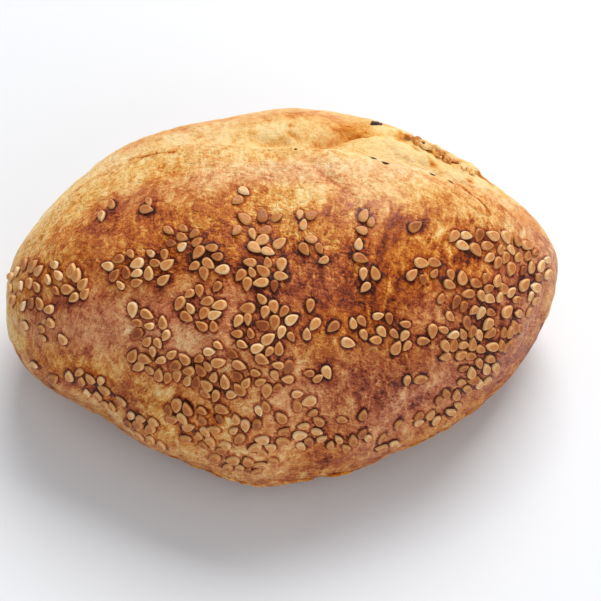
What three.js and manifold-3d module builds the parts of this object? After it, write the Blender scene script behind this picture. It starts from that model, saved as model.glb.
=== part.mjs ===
// The olive pogaca: a small bun shaped like a blunt lemon. The dough is folded over once, so the
// edge of the glazed top sheet runs along the crest as a lip, with paler plain dough behind it.
// Sesame seeds lie in clusters on the glaze. Lengths are in mm: +X runs along the bun, -Y is the
// seeded front, +Z is up, and the origin is in the middle of the face it rests on.
//
// A place on the crust is given by two numbers: `along`, an angle from the right tip (0) to the
// left tip (pi), and `turn`, an angle round the long axis (0 back, 90 crest, 180 front, 270 base).

import * as THREE from "three";
import { ConvexGeometry } from "three/addons/geometries/ConvexGeometry.js";
import { mergeVertices } from "three/addons/utils/BufferGeometryUtils.js";
import Module from "manifold-3d";

// ---------------------------------------------------------------- driving dimensions

const HALF_LENGTH = 60; // half the bun's length before the outline ratios
const HALF_WIDTH = 43; // half its width
const HEIGHT = 50; // base to crest
const GIRTH_SIDE = 13.5; // height of the widest line, at the front and back
const GIRTH_TIP = 18; // height of the widest line, at the two tips
const GIRTH_BACK_RISE = 3; // how much higher that line runs at the back than in the middle
const TOP_ROUNDNESS = 2.15; // 2 is an ellipse, more is boxier
const UNDERSIDE_ROUNDNESS = 3;
const BASE_FLATTENING = 1.3; // how far the base would reach below the tray without it
const LEAN = 2; // the crest leans this far to the right
const LEAN_FROM = 15; // height at which the lean begins

// Plan outline: one ratio each 15 degrees round from the right tip, against a plain ellipse.
const OUTLINE_RATIOS = [
  1.026, 0.87, 0.904, 0.929, 0.937, 1.001, 0.981, 0.965, 0.982, 1.032, 0.957, 0.997,
  1.007, 0.956, 0.839, 0.908, 0.919, 1.002, 0.948, 0.975, 0.91, 0.945, 0.952, 0.948,
];
const OUTLINE_SHARPNESS = 46; // how narrowly each ratio acts

// The crest seam and the relief beside it, as [place along x, value] knots.
// The seam is given by its turn in degrees, the rest in mm.
const SEAM_TURN = [
  [-60, 60], [-46, 55], [-30, 59.5], [-8, 68], [15, 73.5],
  [25, 77.4], [33, 80.6], [42, 87], [50, 92.5], [60, 92.5],
];
const VALLEY_DEPTH = [
  [-60, 0], [-48, 0.3], [-30, 0.9], [-12, 1], [4, 2], [20, 2], [38, 2.3], [46, 1.9], [54, 0.3], [60, 0],
];
const VALLEY_REACH = [[-60, 6], [-20, 7], [10, 9], [45, 9], [60, 6]];
const LIP_SWELL = [[-60, 0], [-35, 0.2], [0, 0.3], [25, 0.6], [45, 0.6], [54, 0.1], [60, 0]];
const LIP_OVERHANG = [[-60, 0], [-25, 0], [5, 0.5], [22, 1], [40, 1.4], [49, 0.9], [56, 0], [60, 0]];
const RIM_SWELL = [
  [-60, 0], [-40, 0.2], [-5, 1], [12, 0.9], [26, 0.3], [36, 0.9], [46, 0.8], [56, 0], [60, 0],
];
const STEP_WIDTH = 1.3; // the lip drops into the valley over this distance
const RIM_FROM_SEAM = 12.6; // the rim of the lower sheet rises this far behind the seam
const ROLL_RADIUS = 42; // turns an angle round the long axis into a distance over the crust

// Grooves in the crust. `x` runs along the bun, `s` is the distance behind the seam.
const GROOVES = [
  { x: [10, 25], s: [2.5, 13], halfWidth: 1.7, depth: 1.7 },
  { x: [-8, 1], s: [4.9, 4.4], halfWidth: 1.6, depth: 1.2 },
  { x: [6, 11.5], s: [-3.5, -11], halfWidth: 1.6, depth: 0.8 },
  { x: [-4.5, 3.5], s: [-3, -2.4], halfWidth: 1.5, depth: 0.6 },
  { x: [-34, -25], s: [2, 1], halfWidth: 0.7, depth: 0.5 },
  { x: [20.5, 24.5], s: [10, 10.8], halfWidth: 1, depth: 0.9 },
];

// Soft lumps of the risen dough: a sum of waves in random directions.
const LUMP_COUNT = 10;
const LUMP_HEIGHT = 0.35;
const LUMP_SHORTEST = 14;
const LUMP_LONGEST = 34;
const LUMP_RANDOM_START = 18;

// Moves the finished form so that the origin is in the middle of its box.
const CENTRE = [-0.05, 0.2];

// Mesh of the crust.
const COLUMNS = 34; // rings of points between the two tips
const FINEST_ROW = 0.45; // spacing of the rows at the seam
const ROW_GROWTH = 0.34; // how fast it widens away from the seam
const FRONT_ROW = 4.7; // widest spacing on the seeded front
const BACK_ROW = 9; // widest spacing on the base and back
const FRONT_REACH = 108; // the seeded front ends this far in front of the seam

// Sesame seeds.
const SEED_LENGTH = 3;
const SEED_WIDTH = 2.05;
const SEED_HEIGHT = 0.8; // above the crust
const SEED_ROOT = 0.2; // below the crust
const SEED_SIZE_SPREAD = 0.2;
const SEED_GAP = 1.6; // least distance between the two round halves of neighbouring seeds
const BESIDE_SHARE = 0.5; // share of the seeds that fell close beside the one before
const BESIDE_STEP = [1.9, 2.9]; // how far from it
const CLUSTER_EDGE = 1.15; // how far out of its cluster a seed may be, in half extents
const SEED_LOWEST = 3; // no seed lies below this height
const SEEDS_MODELLED = 0.48; // share of each cluster's seeds that is modelled, the largest first

// Clusters of seeds: place along x, turn in degrees, half extents in x and turn, and count.
const SEED_CLUSTERS = [
  [-53, 90, 4.2, 10, 8], // left tip
  [-55.2, 115, 2.8, 17, 9],
  [-57.6, 84, 1.6, 14, 4],
  [-47.5, 101.5, 3.2, 6, 8],
  [-57.5, 172, 1.2, 12, 2],
  [-33.4, 101, 6, 5, 15], // left row
  [-22.7, 94, 3.6, 3, 6],
  [-21, 103, 3.4, 8.5, 9],
  [-26, 117.5, 5, 6, 12],
  [-38.7, 122, 4, 7.4, 9], // left of the middle
  [-38, 137, 6.6, 7.4, 13],
  [-24.4, 139, 7.6, 9, 19],
  [-27.8, 161, 10.6, 10, 22], // lower left
  [-19.2, 174, 7, 4.6, 8],
  [-11.2, 160, 5.2, 13, 11],
  [-53, 165, 4.4, 12, 11],
  [-43, 169, 4, 5.4, 5],
  [-46, 179, 7, 3.6, 4],
  [-7.5, 97, 4.8, 6.4, 10], // middle, from the crest down
  [2, 95, 2.6, 2.2, 3],
  [-9, 109, 7.2, 4.4, 10],
  [6.5, 103, 4.6, 4.6, 4],
  [-10, 125, 8, 8.4, 20],
  [-11, 140, 6.4, 4.8, 9],
  [-1.9, 158, 6.8, 11, 10],
  [2.3, 142, 4.4, 2.4, 3],
  [7, 127, 7.6, 12, 6],
  [15.6, 100, 1.6, 8, 5], // right of the middle
  [18.1, 113, 2.2, 4.6, 3],
  [29.5, 109, 2.8, 4, 5],
  [20.5, 130, 7.4, 4.6, 9],
  [26.8, 137, 2.4, 3.2, 2],
  [5.6, 167, 5, 2, 3], // lower right
  [15.8, 163, 7, 9, 6],
  [31.6, 150.5, 2.4, 3, 2],
  [27.2, 174, 7, 4.6, 4],
  [39, 170, 6, 7.6, 10],
  [46.5, 161, 4, 9.4, 8],
  [38, 134, 5.2, 7.6, 12], // dense patch on the right
  [45.6, 144, 3.8, 12, 13],
  [37.4, 117, 4.2, 7, 8],
  [43.4, 122, 4.8, 7.6, 14],
  [51.2, 134, 3.8, 16, 13], // right tip
  [38.6, 101, 4.8, 3, 7],
  [45.8, 103, 5.2, 6.2, 11],
  [52.3, 114, 4.8, 11, 10],
  [-10.1, 87, 2, 1.2, 2], // pairs near the crest
  [-27.5, 84, 2, 1.4, 2],
  [-37.6, 81, 2, 2.4, 2],
];
const STRAY_SEEDS = [-8, 106, 50, 16, 7]; // single seeds between the clusters, in the same form
const STRAY_GAP = 6;
const SEED_RANDOM_START = 2026;

// Bits of olive and torn crumbs that stand on the dough behind the seam: x, distance behind the
// seam, length, width and height, and how far each is turned, in degrees.
const OLIVE_BITS = [
  [28.2, 17, 3.2, 1.7, 0.8, 20],
  [37.6, 12.3, 2.1, 1.4, 0.5, 70],
];
const RIM_CRUMB_COUNT = 18;
const RIM_CRUMB_SPAN = [34, 50];
const RIM_CRUMB_FROM_SEAM = [11, 14.5];
const RIM_CRUMB_SIZE = [1.4, 3];
const CRUMB_RANDOM_START = 404;

const CRUST_COLOUR = 0xc07a34;

// ---------------------------------------------------------------- small helpers

const degrees = THREE.MathUtils.degToRad;
const { clamp, lerp, smoothstep } = THREE.MathUtils;
const bell = (t) => Math.exp(-t * t);

// A stream of random numbers from 0 to 1 that is the same each time.
function randomStream(start) {
  let state = start;
  return () => {
    state = (Math.imul(state, 1664525) + 1013904223) >>> 0;
    return state / 4294967296;
  };
}

// A smooth curve through [x, value] knots.
function through(knots, x) {
  const last = knots.length - 1;
  const at = clamp(x, knots[0][0], knots[last][0]);
  let k = 0;
  while (k < last - 1 && at >= knots[k + 1][0]) k += 1;
  const slope = (i) => {
    const a = knots[Math.max(i - 1, 0)];
    const b = knots[Math.min(i + 1, last)];
    return (b[1] - a[1]) / (b[0] - a[0]);
  };
  const span = knots[k + 1][0] - knots[k][0];
  const t = (at - knots[k][0]) / span;
  return (
    (1 + 2 * t) * (1 - t) ** 2 * knots[k][1] +
    t * (1 - t) ** 2 * span * slope(k) +
    t * t * (3 - 2 * t) * knots[k + 1][1] +
    t * t * (t - 1) * span * slope(k + 1)
  );
}

// ---------------------------------------------------------------- the form of the bun

function outlineRatio(around) {
  let total = 0;
  let weights = 0;
  OUTLINE_RATIOS.forEach((ratio, k) => {
    const apart = around - (2 * Math.PI * k) / OUTLINE_RATIOS.length;
    const weight = Math.exp(OUTLINE_SHARPNESS * (Math.cos(apart) - 1));
    total += weight * ratio;
    weights += weight;
  });
  return total / weights;
}

// The smooth bun, before the seam and the lumps.
function plainForm(along, turn) {
  const across = Math.sin(along) * Math.cos(turn);
  const rise = Math.sin(along) * Math.sin(turn);
  const around = Math.atan2(across, Math.cos(along));
  const level = Math.hypot(Math.cos(along), across);
  const c = Math.cos(around);
  const s = Math.sin(around);
  const ellipse = 1 / Math.hypot(c / HALF_LENGTH, s / HALF_WIDTH);
  const girth = GIRTH_SIDE + (GIRTH_TIP - GIRTH_SIDE) * c * c + GIRTH_BACK_RISE * s;
  const power = 2 / (rise >= 0 ? TOP_ROUNDNESS : UNDERSIDE_ROUNDNESS);
  const climb = rise >= 0 ? HEIGHT - girth : -(girth + BASE_FLATTENING);
  const reach = outlineRatio(around) * ellipse * level ** power;
  const z = girth + climb * Math.abs(rise) ** power;
  const lean = LEAN * clamp((z - LEAN_FROM) / (HEIGHT - LEAN_FROM), 0, 1);
  return new THREE.Vector3(reach * c + lean, reach * s, z);
}

function outward(along, turn) {
  return new THREE.Vector3(
    Math.cos(along) / HALF_LENGTH,
    (Math.sin(along) * Math.cos(turn)) / HALF_WIDTH,
    (Math.sin(along) * Math.sin(turn)) / (0.6 * HEIGHT),
  ).normalize();
}

// Distance over the crust behind the seam, negative on the glazed sheet in front of it.
function behindSeam(along, turn) {
  const seam = degrees(through(SEAM_TURN, HALF_LENGTH * Math.cos(along)));
  return ROLL_RADIUS * Math.sin(along) * (seam - turn);
}

// Height of the seam's relief: lip, valley, the lower sheet's rim, grooves.
function seamRelief(x, s) {
  const fallen = smoothstep(s, 0, STEP_WIDTH);
  const valley = fallen * (1 - smoothstep(s, 2, through(VALLEY_REACH, x)));
  let height = through(LIP_SWELL, x) * bell((s + 3.5) / 3.5) * (1 - fallen);
  height -= through(VALLEY_DEPTH, x) * valley;
  height += through(RIM_SWELL, x) * bell((s - RIM_FROM_SEAM) / 4.5);
  for (const groove of GROOVES) {
    const runX = groove.x[1] - groove.x[0];
    const runS = groove.s[1] - groove.s[0];
    const inX = x - groove.x[0];
    const inS = s - groove.s[0];
    const t = clamp((inX * runX + inS * runS) / (runX * runX + runS * runS), 0, 1);
    const away = Math.hypot(inX - t * runX, inS - t * runS);
    const fade = 0.55 + 0.45 * Math.sin(Math.PI * t);
    height -= groove.depth * fade * bell(away / groove.halfWidth);
  }
  return height;
}

function lumpWaves() {
  const random = randomStream(LUMP_RANDOM_START);
  return Array.from({ length: LUMP_COUNT }, () => {
    const length = lerp(LUMP_SHORTEST, LUMP_LONGEST, random());
    const spin = 2 * Math.PI * random();
    const rise = 2 * random() - 1;
    const flat = Math.sqrt(1 - rise * rise);
    const direction = new THREE.Vector3(flat * Math.cos(spin), flat * Math.sin(spin), rise);
    return { wave: direction.multiplyScalar((2 * Math.PI) / length), phase: 2 * Math.PI * random() };
  });
}
const LUMPS = lumpWaves();

function lumpHeight(point) {
  const sum = LUMPS.reduce((h, { wave, phase }) => h + Math.sin(wave.dot(point) + phase), 0);
  return (LUMP_HEIGHT * sum) / Math.sqrt(LUMP_COUNT);
}

// The finished crust.
function crust(along, turn) {
  const point = plainForm(along, turn);
  const x = HALF_LENGTH * Math.cos(along);
  const s = behindSeam(along, turn);
  const nearSeam = smoothstep(-Math.abs(s), -60, -30);
  const height = seamRelief(x, s) * nearSeam + lumpHeight(point) * smoothstep(point.z, 3, 9);
  const slip = through(LIP_OVERHANG, x) * bell((s + 0.2) / 0.9);
  point.addScaledVector(outward(along, turn), height);
  point.add(new THREE.Vector3(0, slip * Math.sin(turn), -slip * Math.cos(turn)));
  point.z = Math.max(point.z, 0);
  point.x -= CENTRE[0];
  point.y -= CENTRE[1];
  return point;
}

// ---------------------------------------------------------------- its mesh

// Rows of the mesh as distances behind the seam, once round the bun: close together at the lip.
function rowPlaces() {
  const onceRound = 2 * Math.PI * ROLL_RADIUS;
  const stepAt = (s, widest) => Math.min(FINEST_ROW + ROW_GROWTH * Math.abs(s), widest);
  const back = [];
  for (let s = 0; s < onceRound - FRONT_REACH; s += stepAt(s, BACK_ROW)) back.push(s);
  const front = [];
  for (let s = -FINEST_ROW; s > -FRONT_REACH; s -= stepAt(s, FRONT_ROW)) front.push(s);
  return [...front.reverse(), ...back];
}

function crustGeometry() {
  const rows = rowPlaces();
  const points = [crust(0, 0)];
  for (let i = 1; i < COLUMNS; i += 1) {
    const along = (Math.PI * i) / COLUMNS;
    const seam = degrees(through(SEAM_TURN, HALF_LENGTH * Math.cos(along)));
    for (const s of rows) {
      const turn = seam - s / ROLL_RADIUS;
      const wrapped = turn < degrees(-90) ? turn + 2 * Math.PI : turn;
      points.push(crust(along, wrapped));
    }
  }
  points.push(crust(Math.PI, 0));
  const n = rows.length;
  const lastPoint = points.length - 1;
  const at = (i, j) => 1 + (i - 1) * n + (j % n);
  const index = [];
  for (let j = 0; j < n; j += 1) {
    index.push(0, at(1, j + 1), at(1, j));
    for (let i = 1; i < COLUMNS - 1; i += 1) {
      index.push(at(i, j), at(i + 1, j + 1), at(i + 1, j));
      index.push(at(i, j), at(i, j + 1), at(i + 1, j + 1));
    }
    index.push(at(COLUMNS - 1, j), at(COLUMNS - 1, j + 1), lastPoint);
  }
  const geometry = new THREE.BufferGeometry().setFromPoints(points);
  geometry.setIndex(index);
  return geometry;
}

// ---------------------------------------------------------------- seeds, crumbs and olive bits

// A frame that stands on the crust: z out of the dough, x turned by `heading` from along the bun.
function frameOnCrust(along, turn, heading) {
  const step = 0.012;
  const point = crust(along, turn);
  const ahead = crust(along - step, turn).sub(crust(along + step, turn));
  const over = crust(along, turn - step).sub(crust(along, turn + step));
  const normal = new THREE.Vector3().crossVectors(ahead, over).normalize();
  const forward = ahead.normalize();
  const side = new THREE.Vector3().crossVectors(normal, forward);
  const x = forward.multiplyScalar(Math.cos(heading)).addScaledVector(side, Math.sin(heading));
  const y = new THREE.Vector3().crossVectors(normal, x);
  return new THREE.Matrix4().makeBasis(x, y, normal).setPosition(point);
}

// A teardrop seed with its point towards +x, and a root below z = 0.
function seedGeometry() {
  const half = SEED_LENGTH / 2;
  const side = SEED_WIDTH / 2;
  const points = [];
  const belt = [[1.05, 0], [0.42, 0.8], [-0.5, 0.96], [-0.98, 0], [-0.5, -0.96], [0.42, -0.8]];
  for (const [x, y] of belt) {
    points.push(new THREE.Vector3(x * half, y * side, -SEED_ROOT));
  }
  for (const [x, y] of [[0.5, 0], [-0.15, 0.5], [-0.65, 0], [-0.15, -0.5]]) {
    points.push(new THREE.Vector3(x * half, y * side, SEED_HEIGHT));
  }
  return new ConvexGeometry(points);
}

// The places of the seeds. Each candidate draws the same count of random numbers, kept or not.
function placeSeeds() {
  const random = randomStream(SEED_RANDOM_START);
  const halves = []; // middles of the two round halves of each seed so far
  const clusters = [];
  const scatter = ([x, turn, halfX, halfTurn, count], gap) => {
    const kept = [];
    for (let tries = 0; tries < 60 * count && kept.length < count; tries += 1) {
      const spin = 2 * Math.PI * random();
      const out = Math.sqrt(random());
      const heading = 2 * Math.PI * random();
      const size = 1 + SEED_SIZE_SPREAD * (2 * random() - 1);
      const beside = random() < BESIDE_SHARE && kept.length > 0;
      let placeX = x + halfX * out * Math.cos(spin);
      let placeTurn = degrees(turn + halfTurn * out * Math.sin(spin));
      if (beside) {
        const last = kept[kept.length - 1];
        const step = lerp(BESIDE_STEP[0], BESIDE_STEP[1], out);
        placeX = last.x + step * Math.cos(spin);
        placeTurn = last.turn + (step * Math.sin(spin)) / (ROLL_RADIUS * Math.sin(last.along));
      }
      placeX = clamp(placeX, -59.4, 59.4);
      const apart = Math.hypot((placeX - x) / halfX, (placeTurn - degrees(turn)) / degrees(halfTurn));
      if (apart > CLUSTER_EDGE) continue;
      const along = Math.acos(placeX / HALF_LENGTH);
      const frame = frameOnCrust(along, placeTurn, heading);
      const ends = [0.2 * SEED_LENGTH, -0.2 * SEED_LENGTH].map((offset) =>
        new THREE.Vector3(offset * size, 0, 0).applyMatrix4(frame),
      );
      const crowded = halves.some((other) => ends.some((end) => end.distanceTo(other) < gap));
      if (crowded || ends[0].z < SEED_LOWEST) continue;
      halves.push(...ends);
      kept.push({ frame, size, along, x: placeX, turn: placeTurn });
    }
    clusters.push(kept);
  };
  for (const cluster of SEED_CLUSTERS) scatter(cluster, SEED_GAP);
  scatter(STRAY_SEEDS, STRAY_GAP);
  return clusters;
}

function modelledSeeds() {
  const shape = seedGeometry();
  return placeSeeds().flatMap((cluster) => {
    const wanted = Math.round(SEEDS_MODELLED * cluster.length);
    const largest = [...cluster].sort((a, b) => b.size - a.size).slice(0, wanted);
    return largest.map(({ frame, size }) => shape.clone().scale(size, size, 1).applyMatrix4(frame));
  });
}

// A rough-cut bit, half sunk in the dough.
function bitGeometry(random, length, width, height) {
  const points = [];
  for (const level of [-0.6, 0.35, 0.9]) {
    const spread = level > 0.6 ? 0.5 : 1;
    const corners = level > 0.6 ? 3 : 5;
    for (let k = 0; k < corners; k += 1) {
      const angle = (2 * Math.PI * (k + 0.35 * random())) / corners;
      const x = 0.5 * length * spread * Math.cos(angle);
      const y = 0.5 * width * spread * Math.sin(angle);
      points.push(new THREE.Vector3(x, y, level * height));
    }
  }
  return new ConvexGeometry(points);
}

// A frame at x along the bun and s behind the seam.
function frameBehindSeam(x, s, heading) {
  const along = Math.acos(x / HALF_LENGTH);
  const turn = degrees(through(SEAM_TURN, x)) - s / (ROLL_RADIUS * Math.sin(along));
  return frameOnCrust(along, turn, heading);
}

function bitsOnDough() {
  const random = randomStream(CRUMB_RANDOM_START);
  const bits = OLIVE_BITS.map(([x, s, length, width, height, heading]) =>
    bitGeometry(random, length, width, height).applyMatrix4(frameBehindSeam(x, s, degrees(heading))),
  );
  for (let k = 0; k < RIM_CRUMB_COUNT; k += 1) {
    const x = lerp(RIM_CRUMB_SPAN[0], RIM_CRUMB_SPAN[1], (k + random()) / RIM_CRUMB_COUNT);
    const s = lerp(RIM_CRUMB_FROM_SEAM[0], RIM_CRUMB_FROM_SEAM[1], random());
    const size = lerp(RIM_CRUMB_SIZE[0], RIM_CRUMB_SIZE[1], random());
    const frame = frameBehindSeam(x, s, 2 * Math.PI * random());
    bits.push(bitGeometry(random, size, 0.8 * size, 0.22 * size).applyMatrix4(frame));
  }
  return bits;
}

// ---------------------------------------------------------------- one solid

const wasm = await Module();
wasm.setup();

function solidOf(geometry) {
  const bare = new THREE.BufferGeometry();
  bare.setAttribute("position", geometry.getAttribute("position").clone());
  if (geometry.index) bare.setIndex(geometry.index.clone());
  const merged = mergeVertices(bare, 1e-4);
  return new wasm.Manifold(
    new wasm.Mesh({
      numProp: 3,
      vertProperties: new Float32Array(merged.attributes.position.array),
      triVerts: new Uint32Array(merged.index.array),
    }),
  );
}

function geometryOf(solid) {
  const mesh = solid.getMesh();
  const geometry = new THREE.BufferGeometry();
  geometry.setAttribute("position", new THREE.BufferAttribute(mesh.vertProperties, 3));
  geometry.setIndex(new THREE.BufferAttribute(mesh.triVerts, 1));
  geometry.computeVertexNormals();
  return geometry;
}

let bun = solidOf(crustGeometry());
for (const topping of [...modelledSeeds(), ...bitsOnDough()]) {
  bun = bun.add(solidOf(topping));
}

const pogaca = new THREE.Mesh(
  geometryOf(bun),
  new THREE.MeshStandardMaterial({ color: CRUST_COLOUR, roughness: 0.55, metalness: 0 }),
);
pogaca.name = "pogaca";

const group = new THREE.Group();
group.add(pogaca);

export default group;
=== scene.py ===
import math

import bmesh
import bpy
import numpy as np
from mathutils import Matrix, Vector


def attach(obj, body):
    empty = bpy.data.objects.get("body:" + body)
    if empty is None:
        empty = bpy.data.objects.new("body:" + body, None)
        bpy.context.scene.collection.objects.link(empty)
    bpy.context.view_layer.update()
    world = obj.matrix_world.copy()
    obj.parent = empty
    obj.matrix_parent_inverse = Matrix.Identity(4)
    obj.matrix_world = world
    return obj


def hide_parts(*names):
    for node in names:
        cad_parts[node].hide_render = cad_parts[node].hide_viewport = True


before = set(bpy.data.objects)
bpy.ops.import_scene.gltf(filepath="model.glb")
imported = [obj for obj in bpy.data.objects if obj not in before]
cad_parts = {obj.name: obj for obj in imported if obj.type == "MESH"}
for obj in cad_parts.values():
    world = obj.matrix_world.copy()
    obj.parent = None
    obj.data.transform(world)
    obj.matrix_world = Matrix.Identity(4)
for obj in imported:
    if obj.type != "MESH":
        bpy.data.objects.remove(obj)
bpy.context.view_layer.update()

# The looks of the olive pogaca. The crust is built again from the same form as the CAD solid, with
# a much finer mesh, fine relief and baked colours, and all the sesame seeds of the photograph lie
# on it. Lengths are in mm until a mesh is made. A place on the crust is given by two angles:
# `along`, from the right tip (0) to the left tip (pi), and `turn`, round the long axis (0 back,
# 90 crest, 180 front, 270 base). `x` runs along the bun and `s` is the distance behind the seam.

MM = 0.001

# ------------ the form, as in the CAD part

HALF_LENGTH = 60
HALF_WIDTH = 43
HEIGHT = 50
GIRTH_SIDE = 13.5
GIRTH_TIP = 18
GIRTH_BACK_RISE = 3
TOP_ROUNDNESS = 2.15
UNDERSIDE_ROUNDNESS = 3
BASE_FLATTENING = 1.3
LEAN = 2
LEAN_FROM = 15
OUTLINE_RATIOS = [
    1.026, 0.87, 0.904, 0.929, 0.937, 1.001, 0.981, 0.965, 0.982, 1.032, 0.957, 0.997,
    1.007, 0.956, 0.839, 0.908, 0.919, 1.002, 0.948, 0.975, 0.91, 0.945, 0.952, 0.948,
]
OUTLINE_SHARPNESS = 46  # how narrowly each ratio acts

# The crest seam, in degrees, and the relief beside it, in mm, as knots of [x, value].
SEAM_TURN = [
    [-60, 60], [-46, 55], [-30, 59.5], [-8, 68], [15, 73.5],
    [25, 77.4], [33, 80.6], [42, 87], [50, 92.5], [60, 92.5],
]
VALLEY_DEPTH = [
    [-60, 0], [-48, 0.3], [-30, 0.9], [-12, 1], [4, 2],
    [20, 2], [38, 2.3], [46, 1.9], [54, 0.3], [60, 0],
]
VALLEY_REACH = [[-60, 6], [-20, 7], [10, 9], [45, 9], [60, 6]]
LIP_SWELL = [[-60, 0], [-35, 0.2], [0, 0.3], [25, 0.6], [45, 0.6], [54, 0.1], [60, 0]]
LIP_OVERHANG = [[-60, 0], [-25, 0], [5, 0.5], [22, 1], [40, 1.4], [49, 0.9], [56, 0], [60, 0]]
RIM_SWELL = [
    [-60, 0], [-40, 0.2], [-5, 1], [12, 0.9], [26, 0.3], [36, 0.9], [46, 0.8], [56, 0], [60, 0],
]
STEP_WIDTH = 1.3  # the lip drops into the valley over this distance
RIM_FROM_SEAM = 12.6
ROLL_RADIUS = 42  # turns an angle round the long axis into a distance over the crust
GROOVES = [  # the fold and the dents: x from and to, s from and to, half width, depth
    [10, 25, 2.5, 13, 1.7, 1.7],
    [-8, 1, 4.9, 4.4, 1.6, 1.2],
    [6, 11.5, -3.5, -11, 1.6, 0.8],
    [-4.5, 3.5, -3, -2.4, 1.5, 0.6],
    [-34, -25, 2, 1, 0.7, 0.5],
    [20.5, 24.5, 10, 10.8, 1, 0.9],
]
LUMP_COUNT = 10
LUMP_HEIGHT = 0.35
LUMP_SHORTEST = 14
LUMP_LONGEST = 34
LUMP_RANDOM_START = 18
CENTRE = np.array([-0.05, 0.2, 0])  # middle of the form's box, moved to the origin


def smoothstep(x, low, high):
    t = np.clip((x - low) / (high - low), 0, 1)
    return t * t * (3 - 2 * t)


def bell(t):
    """1 at 0, falling to 0 on both sides."""
    return np.exp(-t * t)


def lerp(low, high, t):
    return low + (high - low) * t


def random_stream(start):
    """Random numbers from 0 to 1, the same ones as in the CAD part."""
    state = start
    while True:
        state = (state * 1664525 + 1013904223) % 4294967296
        yield state / 4294967296


def through(knots, x):
    """A smooth curve through [place, value] knots."""
    places, values = np.array(knots, float).T
    before = np.maximum(np.arange(len(places)) - 1, 0)
    after = np.minimum(np.arange(len(places)) + 1, len(places) - 1)
    slopes = (values[after] - values[before]) / (places[after] - places[before])
    x = np.clip(x, places[0], places[-1])
    k = np.clip(np.searchsorted(places, x, side="right") - 1, 0, len(places) - 2)
    span = places[k + 1] - places[k]
    t = (x - places[k]) / span
    return (
        (1 + 2 * t) * (1 - t) ** 2 * values[k]
        + t * (1 - t) ** 2 * span * slopes[k]
        + t * t * (3 - 2 * t) * values[k + 1]
        + t * t * (t - 1) * span * slopes[k + 1]
    )


def outline_ratio(around):
    """How far the plan outline reaches, as a share of a plain ellipse."""
    total = np.zeros_like(around)
    weights = np.zeros_like(around)
    for k, ratio in enumerate(OUTLINE_RATIOS):
        apart = around - 2 * np.pi * k / len(OUTLINE_RATIOS)
        weight = np.exp(OUTLINE_SHARPNESS * (np.cos(apart) - 1))
        total += weight * ratio
        weights += weight
    return total / weights


def plain_form(along, turn):
    """Points of the bun before the seam, the lumps and the fine relief."""
    across = np.sin(along) * np.cos(turn)
    rise = np.sin(along) * np.sin(turn)
    around = np.arctan2(across, np.cos(along))
    level = np.hypot(np.cos(along), across)
    c = np.cos(around)
    s = np.sin(around)
    ellipse = 1 / np.hypot(c / HALF_LENGTH, s / HALF_WIDTH)
    girth = GIRTH_SIDE + (GIRTH_TIP - GIRTH_SIDE) * c * c + GIRTH_BACK_RISE * s
    power = 2 / np.where(rise >= 0, TOP_ROUNDNESS, UNDERSIDE_ROUNDNESS)
    climb = np.where(rise >= 0, HEIGHT - girth, -(girth + BASE_FLATTENING))
    reach = outline_ratio(around) * ellipse * level**power
    z = girth + climb * np.abs(rise) ** power
    lean = LEAN * np.clip((z - LEAN_FROM) / (HEIGHT - LEAN_FROM), 0, 1)
    return np.stack([reach * c + lean, reach * s, z], -1)


def outward(along, turn):
    """The way out of the crust, as for a plain egg shape."""
    x = np.cos(along) / HALF_LENGTH
    y = np.sin(along) * np.cos(turn) / HALF_WIDTH
    z = np.sin(along) * np.sin(turn) / (0.6 * HEIGHT)
    way = np.stack([x, y, z], -1)
    return way / np.linalg.norm(way, axis=-1, keepdims=True)


def behind_seam(along, turn):
    """The distance of a place behind the seam, below 0 in front of it."""
    seam = np.radians(through(SEAM_TURN, HALF_LENGTH * np.cos(along)))
    return ROLL_RADIUS * np.sin(along) * (seam - turn)


def near_line(x, s, line, half_width):
    """1 on a line over the crust, fading to its sides and a little to its ends."""
    x_from, x_to, s_from, s_to = line
    run_x = x_to - x_from
    run_s = s_to - s_from
    in_x = x - x_from
    in_s = s - s_from
    t = np.clip((in_x * run_x + in_s * run_s) / (run_x**2 + run_s**2), 0, 1)
    away = np.hypot(in_x - t * run_x, in_s - t * run_s)
    return (0.55 + 0.45 * np.sin(np.pi * t)) * bell(away / half_width)


def seam_relief(x, s):
    fallen = smoothstep(s, 0, STEP_WIDTH)
    valley = fallen * (1 - smoothstep(s, 2, through(VALLEY_REACH, x)))
    height = through(LIP_SWELL, x) * bell((s + 3.5) / 3.5) * (1 - fallen)
    height = height - through(VALLEY_DEPTH, x) * valley
    height = height + through(RIM_SWELL, x) * bell((s - RIM_FROM_SEAM) / 4.5)
    for *line, half_width, depth in GROOVES:
        height = height - depth * near_line(x, s, line, half_width)
    return height


def lump_waves():
    draw = random_stream(LUMP_RANDOM_START)
    waves = []
    phases = []
    for _ in range(LUMP_COUNT):
        length = lerp(LUMP_SHORTEST, LUMP_LONGEST, next(draw))
        spin = 2 * np.pi * next(draw)
        rise = 2 * next(draw) - 1
        flat = math.sqrt(1 - rise * rise)
        way = np.array([flat * math.cos(spin), flat * math.sin(spin), rise])
        waves.append(way * 2 * np.pi / length)
        phases.append(2 * np.pi * next(draw))
    return np.array(waves), np.array(phases)


LUMP_WAVES, LUMP_PHASES = lump_waves()


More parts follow.
